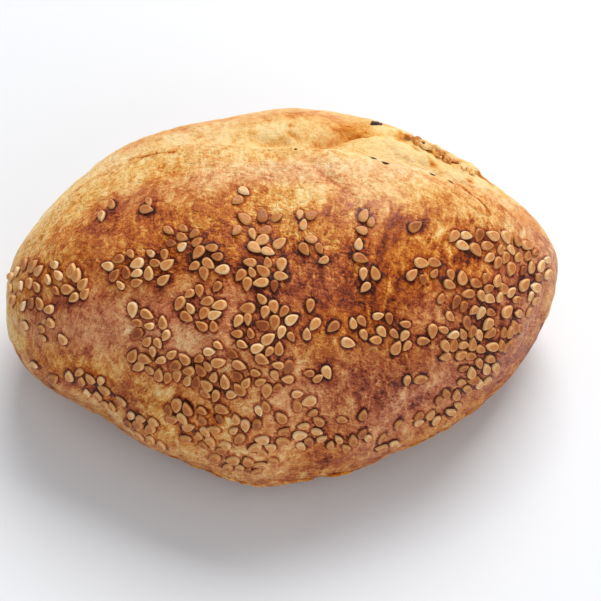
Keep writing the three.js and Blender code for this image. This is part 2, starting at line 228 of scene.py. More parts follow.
def crust(along, turn):
    """Points of the finished crust, in mm."""
    points = plain_form(along, turn)
    x = HALF_LENGTH * np.cos(along)
    s = behind_seam(along, turn)
    near_seam = smoothstep(-np.abs(s), -60, -30)
    lumps = np.sin(points @ LUMP_WAVES.T + LUMP_PHASES).sum(-1) / math.sqrt(LUMP_COUNT)
    height = seam_relief(x, s) * near_seam
    height = height + LUMP_HEIGHT * lumps * smoothstep(points[..., 2], 3, 9)
    points = points + outward(along, turn) * height[..., None]
    slip = through(LIP_OVERHANG, x) * bell((s + 0.2) / 0.9)
    points[..., 1] += slip * np.sin(turn)
    points[..., 2] -= slip * np.cos(turn)
    points[..., 2] = np.maximum(points[..., 2], 0)
    return points - CENTRE


# ------------ soft random heights

LATTICE_SIDE = 32
# The lattice is turned away from the bun's axes, so that its rows don't show.
LATTICE_TURN = np.array([[0.8, -0.36, 0.48], [0.6, 0.48, -0.64], [0.0, 0.8, 0.6]])


def uneven(points, size, start):
    """Random heights from -1 to 1 that change over about `size` mm, the same for each `start`."""
    lattice = np.random.default_rng(start).uniform(-1, 1, (LATTICE_SIDE,) * 3)
    place = points @ LATTICE_TURN / size
    corner = np.floor(place).astype(int)
    t = place - corner
    t = t * t * (3 - 2 * t)
    total = 0
    for offset in np.ndindex(2, 2, 2):
        weight = np.prod(np.where(np.array(offset) == 1, t, 1 - t), axis=-1)
        i, j, k = np.moveaxis((corner + offset) % LATTICE_SIDE, -1, 0)
        total = total + weight * lattice[i, j, k]
    return total


def crease(points, size, width, start):
    """1 along thin random lines, 0 between them."""
    return bell(uneven(points, size, start) / width)


# ------------ relief too fine for the CAD

# Creases, cracks and spots: x from and to, s from and to, half width, how much darker, how deep.
MARKS = [
    # creases in the dough behind the seam, darkened as painted shade
    [2.3, 5.6, 7, 4.7, 0.6, 0.35, 0.4],
    [11.2, 10.8, 6, 0.5, 0.5, 0.15, 0.25],
    [15.6, 19.6, 9.3, 12.2, 0.8, 0.3, 0.5],
    [20.6, 24.8, 9.8, 10.9, 0.6, 0.45, 0.7],
    # cracks in the lip, darkened as painted shade
    [37.2, 40.8, -0.5, -3.2, 0.28, 0.5, 0.3],
    [-34, -25, -1.2, -2.7, 0.3, 0.4, 0.3],
    # a torn hole, darkened as painted shade, and spots on the dough
    [45, 46, 7.6, 9, 0.7, 0.7, 0.8],
    [37.2, 38.2, 7.8, 6.8, 1.3, 0.5, 0],
    [34.2, 35, 8.8, 9.2, 0.6, 0.8, 0.2],
    [31, 31.8, 2.2, 1.9, 0.35, 0.6, 0.2],
    [39, 41.8, 12, 11, 0.8, 0.5, 0],
    [49.8, 51, 10.4, 10.9, 0.6, 0.6, 0],
    [-2.8, -2, 11.2, 11.2, 0.6, 0.35, 0],
    [3.2, 4.2, 8.6, 8.2, 0.6, 0.5, 0.1],
]
# Painted shade: a dark colour with no specular laid in the gaps under the lip.
SLITS = [  # dark gaps under the lip: x from and to, s from and to, half width
    [21.3, 22.7, -0.4, -0.45, 0.3],
    [23.2, 25.2, -0.85, -0.75, 0.28],
    [32.8, 33.9, -0.55, -0.5, 0.3],
    [35.5, 36.2, -0.6, -0.9, 0.3],
    [20, 20.3, 0.1, 0.1, 0.3],
    [21.2, 21.5, 0.1, 0.1, 0.3],
    [3, 4.2, -0.8, -0.6, 0.3],
]
TORN = [37, 7.5, 15, 7]  # the torn dough behind the lip: x, s, half extents
SCAR = [-25.5, 154, 4, 5]  # a burst blister on the front: x, turn, half extents


def torn(x, s):
    """1 on the torn dough, 0 away from it."""
    away = ((x - TORN[0]) / TORN[2]) ** 2 + ((s - TORN[1]) / TORN[3]) ** 2
    return (1 - smoothstep(away, 0.6, 1.3)) * smoothstep(s, 0.3, 1.3)


def base_rim(points, s):
    """The crumbly rim low on the front, 1 on it and 0 away from it."""
    return smoothstep(-s, 30, 45) * bell((points[..., 2] - 5) / 3.5)


def wrinkles(points, x, s):
    """The finest relief of the mesh, in mm. Its hollows are also coloured darker and its ridges
    paler, as painted shade.
    """
    glazed = smoothstep(-s, -0.6, 0.6)
    across = np.stack([x / 2.6, s, 0 * x], -1)
    glaze = 0.1 * uneven(points, 2.1, 3) + 0.07 * uneven(points, 1.1, 16)
    glaze = glaze - 0.13 * crease(points, 3.6, 0.14, 4)
    glaze = glaze + 0.08 * uneven(across, 1.1, 17) * smoothstep(s, -18, -10)
    dough = 0.12 * uneven(points, 2.6, 5) + 0.08 * uneven(points, 1.2, 6)
    dough = dough - 0.14 * crease(points, 5.5, 0.12, 7)
    height = lerp(dough, glaze, glazed)
    crags = 0.42 * np.abs(uneven(points, 2.6, 8)) + 0.25 * np.abs(uneven(points, 1.3, 9)) - 0.3
    height = height + 2 * torn(x, s) * crags
    ragged_rim = bell((s - RIM_FROM_SEAM - 1) / 3.4) * smoothstep(x, 27, 35)
    ragged_rim = ragged_rim * (1 - smoothstep(x, 50, 55))
    height = height + ragged_rim * (1.1 * uneven(points, 2.6, 10) + 0.5 * uneven(points, 1.2, 12))
    layers = np.stack([points[..., 0] / 3, points[..., 1] / 2, points[..., 2]], -1)
    ragged_foot = 0.4 * uneven(layers, 1.3, 13) + 0.25 * uneven(points, 1.3, 14)
    ragged_foot = ragged_foot - 0.9 * crease(layers, 1.8, 0.18, 15)
    height = height + base_rim(points, s) * ragged_foot
    return height * smoothstep(points[..., 2], 0.3, 2.5)


def fine_relief(points, x, s, turn):
    """All the relief that the crust's mesh adds to the CAD form, in mm."""
    height = 0.17 * uneven(points, 9, 1) + 0.12 * uneven(points, 4.6, 2)
    for *line, half_width, _, depth in MARKS:
        height = height - depth * near_line(x, s, line, half_width)
    away = np.hypot((x - SCAR[0]) / SCAR[2], (np.degrees(turn) - SCAR[1]) / SCAR[3])
    flap = bell((away - 0.8) / 0.22) * 0.35 - 0.25 * bell(away / 0.55)
    height = height + flap * (0.7 + 0.6 * uneven(points, 2.2, 11))
    return height * smoothstep(points[..., 2], 0.5, 4) + wrinkles(points, x, s)


# ------------ how dark each place is baked, and the shade painted on it

# Browning runs from 0, cream dough, to 1, the darkest glaze. In front of the seam it depends on
# the distance in front of it, behind the seam on the distance behind it.
GLAZE_BROWNING = [
    [0, 0.22], [4, 0.17], [10, 0.25], [14, 0.4], [18, 0.51], [22, 0.58],
    [30, 0.61], [45, 0.53], [60, 0.42], [75, 0.38], [88, 0.38], [105, 0.5],
]
DOUGH_BROWNING = [[0, 0.07], [6, 0.06], [12, 0.12], [17, 0.19], [26, 0.14], [60, 0.3], [110, 0.45]]
BASE_BROWNING = 0.55
BASE_RIM_BROWNING = 0.46
TIPS_BROWNING = 0.36  # on the line under each tip where glaze and dough meet
TIPS_PINK = 0.3
GROOVE_SHADE = 0.13  # painted shade, for each mm of a groove's depth

# How far before the seam the glaze starts: [x, distance].
GLAZE_EDGE = [[-60, 0], [8, 0], [20, 1.3], [28, 1.1], [38, 0.6], [46, 0], [60, 0]]

DOUGH_GLOSS = 0.12
GLAZE_GLOSS = [0.5, 0.85]  # at the seam and on the front
BASE_GLOSS = 0.15
GLAZE_COAT = 0.12
DOUGH_STREAKS = 0.15
GLAZE_STREAKS = 0.6
GLAZE_VEINS = 0.35

# Patches baked darker or lighter than that: x, turn, half extents in x and turn, change.
BROWNED_PATCHES = [
    # the dough behind the seam and the lip over it
    [-38, 58, 8, 5, 0.03],
    [-29, 44, 12, 6, 0.12],
    [-27, 46, 8, 5, 0.08],
    [3, 50, 14, 4, 0.14],
    [6, 74, 8, 3, -0.06],
    [10, 61, 8, 4, 0.08],
    [14, 54, 9, 5, 0.12],
    [20, 57, 6, 4, 0.12],
    [30, 58, 7, 5, -0.12],
    [36, 73, 12, 7, -0.08],
    [37, 72, 3, 3, 0.14],
    [41, 62, 7, 4, 0.25],
    [44, 60, 6, 4, -0.12],
    [47, 88, 5, 5, 0.16],
    [51, 81, 6, 6, 0.18],
    # the left tip
    [-60, 137, 3, 10, 0.14],
    [-56, 100, 6, 14, 0.26],
    [-54, 72, 6, 7, 0.14],
    [-54, 146, 5, 9, -0.1],
    [-53, 99, 4, 6, -0.14],
    [-49, 163, 5, 8, 0.1],
    [-49, 180, 6, 5, -0.18],
    [-48, 184, 9, 9, -0.12],
    [-47, 78, 5, 6, -0.06],
    [-47, 86.5, 6, 5, 0.12],
    # the right tip
    [47, 118, 14, 28, 0.07],
    [50, 160, 6, 8, -0.08],
    [51, 118.5, 5, 6, 0.24],
    [54, 100, 6, 22, 0.22],
    [56, 134, 4, 10, 0.12],
    [58, 114, 4, 14, 0.14],
    # along the crest
    [-45, 79, 6, 4, 0.16],
    [-45, 99, 5, 5, -0.12],
    [-40, 82, 12, 6, 0.05],
    [-39.5, 75, 4, 4, 0.06],
    [-36.5, 82, 3, 3, 0.24],
    [-36, 90, 8, 5, -0.06],
    [-32, 83, 4, 3, 0.16],
    [-27, 87, 2.4, 2, 0.1],
    [-25, 79, 5, 3, 0.08],
    [-24, 84, 7, 4, 0.1],
    [-12, 89, 5, 2.4, 0.12],
    [-10, 78, 6, 4, 0.1],
    [-9, 99.5, 3, 3, 0.12],
    [-8, 93, 4, 2.5, 0.06],
    [-5, 92.5, 6, 2.5, -0.16],
    [1, 89, 6, 3, -0.08],
    [7, 85, 4, 3, 0.1],
    [9, 82, 5, 3, 0.06],
    # a paler patch where the glaze's sheen lies: painted highlight
    [14, 89, 7, 4, -0.07],
    [20, 91.5, 6, 3, 0.12],
    [26, 95.5, 9, 5.5, 0.22],
    [30, 92, 4, 3, 0.16],
    [40, 96, 4, 3, 0.16],
    [40, 97, 5, 3.5, 0.06],
    # the upper front
    [-45, 132, 18, 30, -0.05],
    [-44, 112, 12, 12, -0.08],
    [-41, 123, 5, 4, -0.16],
    [-40, 126, 7, 7, -0.06],
    [-39, 127, 5, 5, -0.08],
    [-22, 128, 14, 12, -0.04],
    [1, 103, 4, 4, -0.06],
    [26, 128, 5, 4, 0.06],
    [30, 127, 4, 4, 0.06],
    [31, 116, 5, 6, 0.12],
    [33, 103, 6, 6, 0.14],
    [36, 108, 7, 7, 0.12],
    [37, 102.5, 3, 3, 0.18],
    [39, 103, 4, 4, 0.08],
    [43, 111, 4, 5, 0.08],
    # the dark red middle and the paler spots in it
    [5, 112, 4, 4, 0.1],
    [10, 104.5, 3, 3, 0.14],
    [10, 114, 13, 9, 0.2],
    [13.5, 109, 4, 4, -0.2],
    [14, 103.5, 6, 4.5, 0.16],
    [17, 130, 7, 4, -0.16],
    [20, 112, 6, 9, 0.1],
    # the lower front
    [-46, 143, 6, 6, -0.12],
    [-42, 151, 5, 5, -0.08],
    [-36, 134, 10, 9, -0.12],
    [-36, 170, 6, 5, 0.12],
    [-35, 148, 4, 4, -0.08],
    [-27, 157, 5, 4, -0.1],
    [-26, 155, 4, 3, -0.08],
    [-18, 139, 12, 6, -0.12],
    [-18, 139, 4, 3, -0.18],
    [-12, 181, 10, 4, 0.1],
    [-5, 150, 9, 4, -0.08],
    [-3, 148, 5, 4, -0.08],
    [3, 186, 20, 6, 0.16],
    [17, 188, 8, 6, 0.08],
    [28, 137, 6, 4, -0.1],
    [34, 139, 4, 4, 0.06],
    [39, 171, 5, 4, -0.12],
    [42, 152, 5, 5, 0.06],
    # the red patch low on the right
    [9, 174, 9, 5, 0.26],
    [12, 147, 5, 6, 0.06],
    [16, 149, 13, 10, 0.33],
    [32, 165, 10, 8, 0.14],
    # scorched knots round the burst blister
    [-35.5, 166, 1.6, 4, 0.3],
    [-35, 154, 2, 5, 0.25],
    [-34, 153, 1.6, 4, 0.22],
    [-27, 155, 1.8, 3, 0.15],
]
# In the same form, patches where the brown is pinker and greyer, partly the crust's own tone and
# partly painted sheen, and where the glaze is streaked down the slope, shines more or has pale
# veins.
PINK_PATCHES = [
    [-46, 120, 13, 16, 0.9],
    [-24, 128, 18, 16, 0.8],
    [8, 114, 14, 9, 0.4],
    [16, 146, 16, 10, 0.35],
    [30, 165, 16, 14, 0.8],
    [-10, 184, 50, 10, 0.4],
    [50, 145, 12, 26, 0.8],
    [56, 105, 8, 24, 0.9],
    [6, 80, 40, 5, 0.9],
    [-10, 45, 42, 12, 0.6],
    [-30, 168, 20, 14, 0.3],
    [8, 162, 26, 12, 0.35],
    [32, 126, 8, 8, 0.4],
    [-20, 116, 11, 7, 0.5],
    [-5, 149, 14, 9, 0.5],
]
STREAKED_PATCHES = [
    [26, 102, 24, 10, 0.9],
    [24, 148, 12, 14, 0.2],
    [-14, 92, 20, 8, 0.2],
]
GLOSSY_PATCHES = [
    [16, 89.5, 6, 4, 1.4],
    [-4, 96, 12, 6, 0.3],
    [24, 94, 8, 5, 0.3],
]
VEINED_PATCHES = [
    [24, 146, 18, 22, 0.9],
    [28, 108, 14, 14, 0.7],
    [-26, 116, 10, 8, 0.5],
    [-2, 112, 12, 10, 0.4],
]


def patches(table, x, turn):
    """The sum of a table's patches at each point."""
    total = np.zeros_like(x)
    for place, place_turn, half_x, half_turn, amount in table:
        away = ((x - place) / half_x) ** 2 + ((np.degrees(turn) - place_turn) / half_turn) ** 2
        total += amount * np.exp(-0.8 * away)
    return total


def beneath_tips(x, turn):
    """1 on the line under each tip where glaze and dough meet, fading out to both sides."""
    from_base_line = 180 - np.abs(np.degrees(turn) - 90)
    return (1 - smoothstep(from_base_line, 0, 55)) * smoothstep(np.abs(x), 34, 50)


def even_browning(points, x, s, turn, glazed):
    """How dark the glaze and the dough are baked, with their patches."""
    front = s + 2.2 * uneven(points, 11, 21)
    glaze = through(GLAZE_BROWNING, -front)
    dough = through(DOUGH_BROWNING, np.abs(front))
    wobble = 2.5 * uneven(points, 7, 22)
    patched = patches(BROWNED_PATCHES, x + wobble, turn + np.radians(wobble))
    return lerp(dough, glaze, glazed) + patched


def marked_browning_and_shade(points, x, s):
    """What the torn dough, its rim, the grooves and the marks add to the browning, with painted
    shade in the grooves and in the creases, cracks and hole of the marks.
    """
    brown = torn(x, s) * (0.34 * np.maximum(uneven(points, 3.4, 36), 0) - 0.2)
    rim = bell((s - RIM_FROM_SEAM) / 3) * smoothstep(x, 29, 36) * (1 - smoothstep(x, 50, 54))
    brown = brown + rim * (0.35 * uneven(points, 2.4, 26) - 0.04)
    brown = brown + 0.4 * rim * smoothstep(uneven(points, 1.7, 37), 0.25, 0.55)
    # painted shade in the grooves, darker where they are deeper
    for *line, half_width, depth in GROOVES:
        brown = brown + GROOVE_SHADE * depth * near_line(x, s, line, 0.8 * half_width)
    # the marks' darker colour, painted shade in the creases, cracks and torn hole
    for *line, half_width, darker, _ in MARKS:
        brown = brown + darker * near_line(x, s, line, half_width)
    return brown


def crust_looks(points, x, s, turn):
    """What the crust's material reads at each point, each value from 0 to 1."""
    edge = s + through(GLAZE_EDGE, x) + 0.5 * uneven(points, 3, 34)
    glazed = smoothstep(-edge, -0.4, 0.4)
    low_rim = base_rim(points, s)
    under = 1 - smoothstep(points[..., 2], 0.3, 3)
    meet = beneath_tips(x, turn)

    # pinker and greyer: partly the crust's own tone, partly painted sheen
    pink = np.clip(patches(PINK_PATCHES, x, turn) + 0.25 * uneven(points, 10, 27), 0, 1)
    mottle = 0.09 * uneven(points, 8, 23) + 0.11 * uneven(points, 3.6, 24)
    mottle = mottle + 0.09 * uneven(points, 1.8, 25)
    brown = even_browning(points, x, s, turn, glazed) + marked_browning_and_shade(points, x, s)
    brown = brown + mottle * lerp(0.6, 1.4 - 0.6 * pink, smoothstep(-s, 5, 14))
    rim_spots = 0.22 * uneven(points, 1.7, 29) + 0.16 * uneven(points, 4, 30)
    brown = lerp(brown, BASE_RIM_BROWNING + rim_spots, 0.8 * low_rim)
    # painted shade: hollows of the finest relief darker, its ridges paler
    brown = brown - lerp(0.55, 0.2, torn(x, s)) * wrinkles(points, x, s)
    brown = lerp(brown, TIPS_BROWNING + mottle, meet)
    brown = lerp(brown, BASE_BROWNING + mottle, under)
    pink = lerp(pink, TIPS_PINK, meet)

    glossy = patches(GLOSSY_PATCHES, x, turn)
    gloss = lerp(DOUGH_GLOSS, lerp(*GLAZE_GLOSS, smoothstep(-s, 10, 20)), glazed)
    gloss = gloss + 0.15 * uneven(points, 6, 28) + glossy
    gloss = lerp(gloss, BASE_GLOSS, np.maximum(np.maximum(under, meet), 0.7 * low_rim))

    glazed = glazed * (1 - meet)
    streaked = GLAZE_STREAKS - 0.25 * pink + patches(STREAKED_PATCHES, x, turn)
    streaks = lerp(DOUGH_STREAKS, streaked, glazed)
    veins = glazed * (GLAZE_VEINS + patches(VEINED_PATCHES, x, turn)) * smoothstep(-s, 8, 14)
    coat = glazed * (GLAZE_COAT + 0.12 * uneven(points, 5, 35) + glossy)
    coat = lerp(coat, 0, np.maximum(under, low_rim))
    slit_shade = np.max([near_line(x, s, line, half_width) for *line, half_width in SLITS], axis=0)
    looks = {"browning_and_shade": brown, "pink": pink, "gloss": gloss, "streaks": streaks}
    looks = {**looks, "veins": veins, "coat": coat, "slit_shade": slit_shade}
    return {name: np.clip(value, 0, 1) for name, value in looks.items()}


# ------------ places of the seeds

SEED_LENGTH = 3
SEED_WIDTH = 2.05
SEED_HEIGHT = 0.8
SEED_SIZE_SPREAD = 0.2
SEED_HALVES_AT = 0.2  # each half's middle from the seed's own, as a share of its length
SEED_GAP = 1.6  # least distance between the two round halves of neighbouring seeds
SEED_TRIES = 60  # for each seed of a cluster
BESIDE_SHARE = 0.5  # share of the seeds that fell close beside the one before
BESIDE_STEP = [1.9, 2.9]  # how far from it
CLUSTER_EDGE = 1.15  # how far out of its cluster a seed may be, in half extents
SEED_LOWEST = 3  # no seed lies below this height
FARTHEST_SEED_X = 59.4
# Clusters of seeds: x, turn, half extents in x and turn, how many seeds.
SEED_CLUSTERS = [
    [-53, 90, 4.2, 10, 8],
    [-55.2, 115, 2.8, 17, 9],
    [-57.6, 84, 1.6, 14, 4],
    [-47.5, 101.5, 3.2, 6, 8],
    [-57.5, 172, 1.2, 12, 2],
    [-33.4, 101, 6, 5, 15],
    [-22.7, 94, 3.6, 3, 6],
    [-21, 103, 3.4, 8.5, 9],
    [-26, 117.5, 5, 6, 12],
    [-38.7, 122, 4, 7.4, 9],
    [-38, 137, 6.6, 7.4, 13],
    [-24.4, 139, 7.6, 9, 19],
    [-27.8, 161, 10.6, 10, 22],
    [-19.2, 174, 7, 4.6, 8],
    [-11.2, 160, 5.2, 13, 11],
    [-53, 165, 4.4, 12, 11],
    [-43, 169, 4, 5.4, 5],
    [-46, 179, 7, 3.6, 4],
    [-7.5, 97, 4.8, 6.4, 10],
    [2, 95, 2.6, 2.2, 3],
    [-9, 109, 7.2, 4.4, 10],
    [6.5, 103, 4.6, 4.6, 4],
    [-10, 125, 8, 8.4, 20],
    [-11, 140, 6.4, 4.8, 9],
    [-1.9, 158, 6.8, 11, 10],
    [2.3, 142, 4.4, 2.4, 3],
    [7, 127, 7.6, 12, 6],
    [15.6, 100, 1.6, 8, 5],
    [18.1, 113, 2.2, 4.6, 3],
    [29.5, 109, 2.8, 4, 5],
    [20.5, 130, 7.4, 4.6, 9],
    [26.8, 137, 2.4, 3.2, 2],
    [5.6, 167, 5, 2, 3],
    [15.8, 163, 7, 9, 6],
    [31.6, 150.5, 2.4, 3, 2],
    [27.2, 174, 7, 4.6, 4],
    [39, 170, 6, 7.6, 10],
    [46.5, 161, 4, 9.4, 8],
    [38, 134, 5.2, 7.6, 12],
    [45.6, 144, 3.8, 12, 13],
    [37.4, 117, 4.2, 7, 8],
    [43.4, 122, 4.8, 7.6, 14],
    [51.2, 134, 3.8, 16, 13],
    [38.6, 101, 4.8, 3, 7],
    [45.8, 103, 5.2, 6.2, 11],
    [52.3, 114, 4.8, 11, 10],
    [-10.1, 87, 2, 1.2, 2],
    [-27.5, 84, 2, 1.4, 2],
    [-37.6, 81, 2, 2.4, 2],
]
STRAY_SEEDS = [-8, 106, 50, 16, 7]  # single seeds between them, in the same form
STRAY_GAP = 6
SEED_RANDOM_START = 2026
FRAME_STEP = 0.012  # radians


def frame_on_crust(along, turn, heading):
    """A point of the crust and three axes: x turned by `heading` from along the bun, y, z out."""
    alongs = along + FRAME_STEP * np.array([0, -1, 1, 0, 0])
    turns = turn + FRAME_STEP * np.array([0, 0, 0, -1, 1])
    here, ahead, astern, over, under = crust(alongs, turns)
    forward = ahead - astern
    normal = np.cross(forward, over - under)
    normal /= np.linalg.norm(normal)
    forward /= np.linalg.norm(forward)
    side = np.cross(normal, forward)
    x = forward * math.cos(heading) + side * math.sin(heading)
    return here, x, np.cross(normal, x), normal


def place_seeds():
    """Point, axes, size, along and turn of each seed, drawn as in the CAD part."""
    draw = random_stream(SEED_RANDOM_START)
    halves = np.zeros((0, 3))
    seeds = []
    runs = [(cluster, SEED_GAP) for cluster in SEED_CLUSTERS] + [(STRAY_SEEDS, STRAY_GAP)]
    for (x, turn, half_x, half_turn, count), gap in runs:
        kept = 0
        for _ in range(SEED_TRIES * count):
            if kept == count:
                break
            spin = 2 * math.pi * next(draw)
            out = math.sqrt(next(draw))
            heading = 2 * math.pi * next(draw)
            size = 1 + SEED_SIZE_SPREAD * (2 * next(draw) - 1)
            beside = next(draw) < BESIDE_SHARE and kept > 0
            place_x = x + half_x * out * math.cos(spin)
            place_turn = math.radians(turn + half_turn * out * math.sin(spin))
            if beside:
                step = lerp(*BESIDE_STEP, out)
                last_along, last_turn = seeds[-1][-2:]
                girth = ROLL_RADIUS * math.sin(last_along)
                place_x = HALF_LENGTH * math.cos(last_along) + step * math.cos(spin)
                place_turn = last_turn + step * math.sin(spin) / girth
            place_x = min(max(place_x, -FARTHEST_SEED_X), FARTHEST_SEED_X)
            aside = (place_turn - math.radians(turn)) / math.radians(half_turn)
            if math.hypot((place_x - x) / half_x, aside) > CLUSTER_EDGE:
                continue
            along = math.acos(place_x / HALF_LENGTH)
            here, x_axis, y_axis, normal = frame_on_crust(along, place_turn, heading)
            reach = SEED_HALVES_AT * SEED_LENGTH * size
            ends = np.array([here + reach * x_axis, here - reach * x_axis])
            apart = np.linalg.norm(halves[:, None] - ends[None], axis=-1)
            if (apart < gap).any() or ends[0][2] < SEED_LOWEST:
                continue
            halves = np.concatenate([halves, ends])
            seeds.append((here, x_axis, y_axis, normal, size, along, place_turn))
            kept += 1
    return seeds


# ------------ meshes

FINEST_ROW = 0.25  # width of the crust's rows at the seam
ROW_GROWTH = 0.05  # for each mm away from it
FRONT_ROW = 0.52  # the widest rows in front of the seam and behind it
BACK_ROW = 1.35
FRONT_REACH = 108
COLUMNS = 268


def piece_of(name, points, faces, material, values):
    """A smooth mesh piece that stands for the CAD solid and holds named values at its points."""
    mesh = bpy.data.meshes.new(name)
    mesh.from_pydata((np.asarray(points) * MM).tolist(), [], faces)
    for value_name, value in values.items():
        value = np.asarray(value, np.float32)
        kind, key = ("FLOAT_VECTOR", "vector") if value.ndim == 2 else ("FLOAT", "value")
        mesh.attributes.new(value_name, kind, "POINT").data.foreach_set(key, value.ravel())
    mesh.shade_smooth()
    mesh.materials.append(material)
    piece = bpy.data.objects.new(name, mesh)
    bpy.context.scene.collection.objects.link(piece)
    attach(piece, "root")
    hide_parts("pogaca")


def row_places():
    """Rows of the crust's mesh, as distances behind the seam."""
    once_round = 2 * math.pi * ROLL_RADIUS
    back = []
    s = 0.0
    while s < once_round - FRONT_REACH:
        back.append(s)
        s += min(FINEST_ROW + ROW_GROWTH * s, BACK_ROW)
    front = []
    s = -FINEST_ROW
    while s > -FRONT_REACH:
        front.append(s)
        s -= min(FINEST_ROW - ROW_GROWTH * s, FRONT_ROW)
    return np.array(front[::-1] + back)


def crust_grid():
    """Angles of the crust's points: the right tip, rings of rows, the left tip."""
    rows = row_places()
    alongs = np.pi * np.arange(1, COLUMNS) / COLUMNS
    seams = np.radians(through(SEAM_TURN, HALF_LENGTH * np.cos(alongs)))
    turns = seams[:, None] - rows[None] / ROLL_RADIUS
    turns = np.where(turns < np.radians(-90), turns + 2 * np.pi, turns)
    along = np.concatenate([[0], np.repeat(alongs, len(rows)), [np.pi]])
    turn = np.concatenate([[0], turns.ravel(), [0]])
    return along, turn, len(rows)


def crust_faces(n):
    """Faces of the crust's points for `n` rows: fans at both tips and quads between them."""
    faces = []
    end = 1 + (COLUMNS - 2) * n
    for j in range(n):
        k = (j + 1) % n
        faces.append((0, 1 + k, 1 + j))
        faces.append((end + j, end + k, end + n))
    for i in range(COLUMNS - 2):
        start = 1 + i * n
        for j in range(n):
            k = (j + 1) % n
            faces.append((start + j, start + k, start + n + k, start + n + j))
    return faces


def point_normals(points, faces):
    """Outward normals of a mesh's points."""
    mesh = bpy.data.meshes.new("measured")
    mesh.from_pydata(points.tolist(), [], faces)
    normals = np.empty(3 * len(points), np.float32)
    mesh.vertex_normals.foreach_get("vector", normals)
    bpy.data.meshes.remove(mesh)
    return normals.reshape(-1, 3)


STREAK_STRETCH = 2.4  # the glaze's streaks are this many times as long as wide
# Round each seed the crust is darker and glossier: partly the egg wash that gathers there, partly
# painted shade where the seed meets the crust.
POOL_AND_SHADE_REACH = [1.1, 1.5]  # where the egg wash and the shade painted with it are deepest and end, in seed radii
POOL_AND_SHADE_SEARCH = 3.6  # mm, which no pool or its painted shade reaches
POOL_AND_SHADE_DEPTH = [0.8, 1.15]  # at the seam and low on the front


def pool_and_shade_round(seeds, points):
    """How deep each point lies in the egg wash that gathers round the seeds, 0 to 1; the same
    value paints the shade round them.
    """
    pool_and_shade = np.zeros(len(points))
    for here, x_axis, y_axis, _, size, _, _ in seeds:
        near = np.flatnonzero(np.abs(points - here).max(-1) < POOL_AND_SHADE_SEARCH)
        offset = points[near] - here
        u = offset @ x_axis / (0.5 * SEED_LENGTH * size)
        v = offset @ y_axis / (0.5 * SEED_WIDTH * size)
        depth = 1 - smoothstep(np.hypot(u, v), *POOL_AND_SHADE_REACH)
        pool_and_shade[near] = np.maximum(pool_and_shade[near], depth)
    return pool_and_shade


# A seed's rings from its root in the crust to its flattened top: reach and height as shares of
# its half size and height.
SEED_RINGS = [
    [1.2, -0.3], [1.12, -0.06], [1.04, 0.07], [1.0, 0.26], [0.97, 0.5], [0.9, 0.74],
    [0.8, 0.92], [0.66, 1.0], [0.46, 1.0], [0.22, 0.98],
]
SEED_SIDES = 20
SEED_SHAPE_START = 77
SEED_TONE = 0.42  # from 0, dark brown, to 1, cream
SEED_TONE_SPREAD = 0.16
PALE_SEED_TONE = 0.22  # what the few pale and sunken seeds have more
SUNK_SEED_TONE = -0.4


def seed_shape():
    """A seed of unit half size, pointed towards +x: its points, their reaches and its faces."""
    angle = 2 * np.pi * np.arange(SEED_SIDES) / SEED_SIDES
    c = np.cos(angle)
    x = np.where(c > 0, 0.97, 0.88) * c
    y = 0.87 * np.sin(angle) * (1 - 0.26 * c) * (1 - 0.34 * np.maximum(c, 0) ** 3)
    points = []
    reaches = []
    for reach, height in SEED_RINGS:
        for k in range(SEED_SIDES):
            points.append([x[k] * reach, y[k] * reach, height])
            reaches.append(reach if height > 0.1 else 1.1)
    points.append([0, 0, 0.98])
    reaches.append(0)
    faces = []
    for r in range(len(SEED_RINGS) - 1):
        for k in range(SEED_SIDES):
            m = (k + 1) % SEED_SIDES
            a = r * SEED_SIDES
            b = a + SEED_SIDES
            faces.append((a + k, a + m, b + m, b + k))
    top = (len(SEED_RINGS) - 1) * SEED_SIDES
    for k in range(SEED_SIDES):
        faces.append((top + k, top + (k + 1) % SEED_SIDES, len(points) - 1))
    faces.append(tuple(reversed(range(SEED_SIDES))))
    return np.array(points), np.array(reaches), faces


def seldom(rng):
    """0 four times out of five, else anything up to 1."""
    return max(5 * rng.uniform() - 4, 0)


def seeds_mesh(seeds, lifts):
    """Points, faces, tones and rim distances of all the seeds, each a little different."""
    shape, reaches, shape_faces = seed_shape()
    rng = np.random.default_rng(SEED_SHAPE_START)
    points = []
    tones = []
    faces = []
    for (here, x_axis, y_axis, normal, size, _, _), lift in zip(seeds, lifts):
        tilt_x, tilt_y, bend, fat, slim, tone, more_tone = rng.uniform(-1, 1, 7)
        pale = seldom(rng)
        sunk = seldom(rng)
        x = shape[:, 0] * 0.5 * SEED_LENGTH * size
        y = shape[:, 1] * 0.5 * SEED_WIDTH * size * (1 + 0.08 * slim)
        y = y + 0.045 * bend * (x / size) ** 2
        z = shape[:, 2] * SEED_HEIGHT * (1 + 0.14 * fat - 0.4 * sunk)
        z = z + 0.12 * tilt_x * x + 0.16 * tilt_y * y
        place = here + (lift - 0.02) * normal
        first = len(points) * len(shape)
        points.append(place + x[:, None] * x_axis + y[:, None] * y_axis + z[:, None] * normal)
        baked = SEED_TONE + SEED_TONE_SPREAD * (tone + more_tone)
        baked = baked + PALE_SEED_TONE * pale + SUNK_SEED_TONE * sunk
        tones.append(np.full(len(shape), baked))
        faces += [tuple(first + k for k in face) for face in shape_faces]
    rims = np.tile(reaches, len(seeds))
    return np.concatenate(points), faces, np.concatenate(tones), rims


# ------------ olive bits and crumbs

